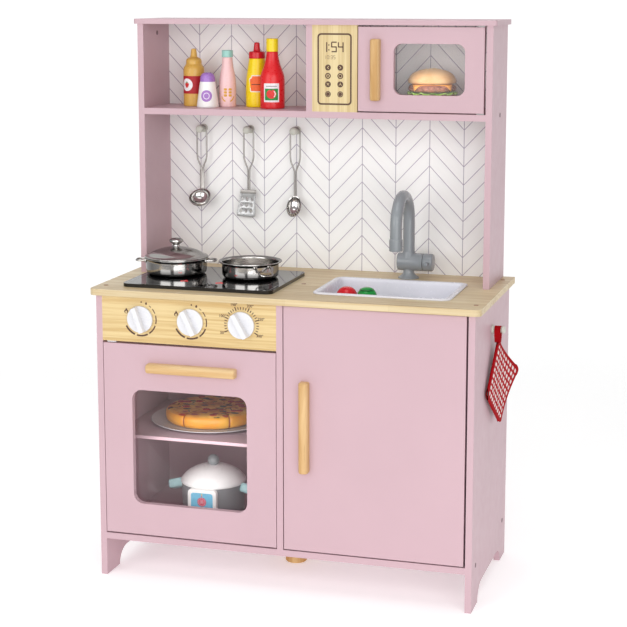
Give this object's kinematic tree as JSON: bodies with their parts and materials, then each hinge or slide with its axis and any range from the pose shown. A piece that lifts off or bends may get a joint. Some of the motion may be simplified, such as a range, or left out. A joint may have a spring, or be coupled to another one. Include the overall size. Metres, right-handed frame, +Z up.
{
  "type": "toy kitchen",
  "caption": "Wooden toy kitchen with an oven, a cupboard, a microwave, a hob with pots, a sink with a swivel faucet, turning knobs, hanging utensils and play food.",
  "frame": {"origin": "on the floor, under the middle of the whole object's box, pot holder and handles included", "axes": "+Z up, -Y towards the child who plays at it, +X towards the cupboard side"},
  "size_m": [0.6397, 0.302, 0.878],
  "materials": {
    "pink_board": "satin pink paint",
    "maple_veneer": "printed maple, satin",
    "worktop_wood": "printed beech, satin",
    "handle_wood": "oiled",
    "leg_wood": "plain turned wood",
    "hook_wood": "pale paint",
    "tile_print": "white with a printed zigzag",
    "clear_pane": "clear",
    "white_plastic": "gloss",
    "grey_plastic": "gloss",
    "hob_black": "mirror gloss",
    "steel": "polished",
    "hinge_steel": "satin",
    "gingham_cloth": "woven check",
    "honey_amber": "gloss",
    "shaker_white": "gloss",
    "milk_pink": "satin",
    "mustard_yellow": "satin",
    "ketchup_red": "satin",
    "burger_plastic": "moulded",
    "pizza_plastic": "moulded",
    "plate_plastic": "gloss",
    "cooker_plastic": "gloss",
    "tomato_red": "moulded",
    "pepper_green": "moulded"
  },
  "bodies": {
    "kitchen": {"left_side_panel": "pink_board", "right_side_panel": "pink_board", "centre_divider": "pink_board", "bottom_board": "pink_board", "lower_back_panel": "pink_board", "oven_shelf": "pink_board", "control_fascia": "maple_veneer", "centre_foot": "leg_wood", "countertop": "worktop_wood", "hob_plate": "hob_black", "sink_basin": "white_plastic", "faucet_base": "grey_plastic", "upper_left_panel": "pink_board", "upper_right_panel": "pink_board", "top_board": "pink_board", "upper_shelf": "pink_board", "backsplash_panel": "tile_print", "microwave_divider": "pink_board", "microwave_fascia": "maple_veneer", "left_hook": "hook_wood", "middle_hook": "hook_wood", "right_hook": "hook_wood", "side_hook": "hook_wood"},
    "oven_door": {"oven_door": "pink_board", "oven_window": "clear_pane", "oven_handle": "handle_wood", "oven_hinge_pin_left": "hinge_steel", "oven_hinge_pin_right": "hinge_steel"},
    "cabinet_door": {"cabinet_door": "pink_board", "cabinet_handle": "handle_wood", "cabinet_hinge_pin_lower": "hinge_steel", "cabinet_hinge_pin_upper": "hinge_steel"},
    "microwave_door": {"microwave_door": "pink_board", "microwave_window": "clear_pane", "microwave_handle": "handle_wood", "microwave_hinge_pin_lower": "hinge_steel", "microwave_hinge_pin_upper": "hinge_steel"},
    "left_knob": {"left_knob": "white_plastic"},
    "middle_knob": {"middle_knob": "white_plastic"},
    "right_knob": {"right_knob": "white_plastic"},
    "faucet_spout": {"faucet_spout": "grey_plastic"},
    "faucet_lever": {"faucet_lever": "grey_plastic"},
    "left_pot": {"left_pot": "steel"},
    "pot_lid": {"pot_lid": "steel"},
    "right_pot": {"right_pot": "steel"},
    "ladle": {"ladle": "steel"},
    "turner": {"turner": "steel"},
    "pasta_server": {"pasta_server": "steel"},
    "pot_holder": {"pot_holder": "gingham_cloth"},
    "honey_bottle": {"honey_bottle": "honey_amber"},
    "pepper_shaker": {"pepper_shaker": "shaker_white"},
    "milk_bottle": {"milk_bottle": "milk_pink"},
    "mustard_bottle": {"mustard_bottle": "mustard_yellow"},
    "ketchup_bottle": {"ketchup_bottle": "ketchup_red"},
    "burger": {"burger": "burger_plastic"},
    "pizza_plate": {"pizza_plate": "plate_plastic"},
    "pizza": {"pizza": "pizza_plastic"},
    "toy_cooker": {"toy_cooker": "cooker_plastic"},
    "play_tomato": {"play_tomato": "tomato_red"},
    "play_pepper": {"play_pepper": "pepper_green"}
  },
  "joints": [
    {"name": "oven_door_hinge", "type": "hinge", "parent": "kitchen", "child": "oven_door", "pos_m": [-0.1585, -0.13, 0.0774], "axis": [1, 0, 0], "range_deg": [0, 90]},
    {"name": "cabinet_door_hinge", "type": "hinge", "parent": "kitchen", "child": "cabinet_door", "pos_m": [0.271, -0.13, 0.2625], "axis": [0, 0, 1], "range_deg": [0, 105]},
    {"name": "microwave_door_hinge", "type": "hinge", "parent": "kitchen", "child": "microwave_door", "pos_m": [0.2607, 0.03, 0.802], "axis": [0, 0, 1], "range_deg": [0, 105]},
    {"name": "left_knob_turn", "type": "hinge", "parent": "kitchen", "child": "left_knob", "pos_m": [-0.237, -0.1355, 0.42], "axis": [0, -1, 0], "continuous": true},
    {"name": "middle_knob_turn", "type": "hinge", "parent": "kitchen", "child": "middle_knob", "pos_m": [-0.1542, -0.1355, 0.42], "axis": [0, -1, 0], "continuous": true},
    {"name": "right_knob_turn", "type": "hinge", "parent": "kitchen", "child": "right_knob", "pos_m": [-0.0714, -0.1355, 0.42], "axis": [0, -1, 0], "continuous": true},
    {"name": "faucet_spout_swivel", "type": "hinge", "parent": "kitchen", "child": "faucet_spout", "pos_m": [0.135, 0.093, 0.5], "axis": [0, 0, 1], "range_deg": [-80, 80]},
    {"name": "faucet_lever_turn", "type": "hinge", "parent": "kitchen", "child": "faucet_lever", "pos_m": [0.168, 0.093, 0.4917], "axis": [1, 0, 0], "range_deg": [-60, 25]},
    {"name": "left_pot_lift", "type": "slide", "parent": "kitchen", "child": "left_pot", "axis": [0, 0, 1], "range_m": [0, 0.1]},
    {"name": "pot_lid_lift", "type": "slide", "parent": "left_pot", "child": "pot_lid", "axis": [0, 0, 1], "range_m": [0, 0.08]},
    {"name": "right_pot_lift", "type": "slide", "parent": "kitchen", "child": "right_pot", "axis": [0, 0, 1], "range_m": [0, 0.1]},
    {"name": "ladle_unhook", "type": "slide", "parent": "kitchen", "child": "ladle", "axis": [0, -0.7071, 0.7071], "range_m": [0, 0.03]},
    {"name": "turner_unhook", "type": "slide", "parent": "kitchen", "child": "turner", "axis": [0, -0.7071, 0.7071], "range_m": [0, 0.03]},
    {"name": "pasta_server_unhook", "type": "slide", "parent": "kitchen", "child": "pasta_server", "axis": [0, -0.7071, 0.7071], "range_m": [0, 0.03]},
    {"name": "pot_holder_unhook", "type": "slide", "parent": "kitchen", "child": "pot_holder", "axis": [0.866, 0, 0.5], "range_m": [0, 0.022]},
    {"name": "pepper_shaker_take", "type": "slide", "parent": "kitchen", "child": "pepper_shaker", "axis": [0, -0.96, 0.28], "range_m": [0, 0.07]},
    {"name": "ketchup_bottle_take", "type": "slide", "parent": "kitchen", "child": "ketchup_bottle", "axis": [0, -0.96, 0.28], "range_m": [0, 0.07]},
    {"name": "honey_bottle_lift", "type": "slide", "parent": "kitchen", "child": "honey_bottle", "axis": [0, 0, 1], "range_m": [0, 0.025]},
    {"name": "milk_bottle_lift", "type": "slide", "parent": "kitchen", "child": "milk_bottle", "axis": [0, 0, 1], "range_m": [0, 0.025]},
    {"name": "mustard_bottle_lift", "type": "slide", "parent": "kitchen", "child": "mustard_bottle", "axis": [0, 0, 1], "range_m": [0, 0.025]},
    {"name": "burger_lift", "type": "slide", "parent": "kitchen", "child": "burger", "axis": [0, 0, 1], "range_m": [0, 0.03]},
    {"name": "pizza_plate_lift", "type": "slide", "parent": "kitchen", "child": "pizza_plate", "axis": [0, 0, 1], "range_m": [0, 0.03]},
    {"name": "pizza_lift", "type": "slide", "parent": "pizza_plate", "child": "pizza", "axis": [0, 0, 1], "range_m": [0, 0.03]},
    {"name": "toy_cooker_lift", "type": "slide", "parent": "kitchen", "child": "toy_cooker", "axis": [0, 0, 1], "range_m": [0, 0.03]},
    {"name": "play_tomato_lift", "type": "slide", "parent": "kitchen", "child": "play_tomato", "axis": [0, 0, 1], "range_m": [0, 0.05]},
    {"name": "play_pepper_lift", "type": "slide", "parent": "kitchen", "child": "play_pepper", "axis": [0, 0, 1], "range_m": [0, 0.05]}
  ]
}
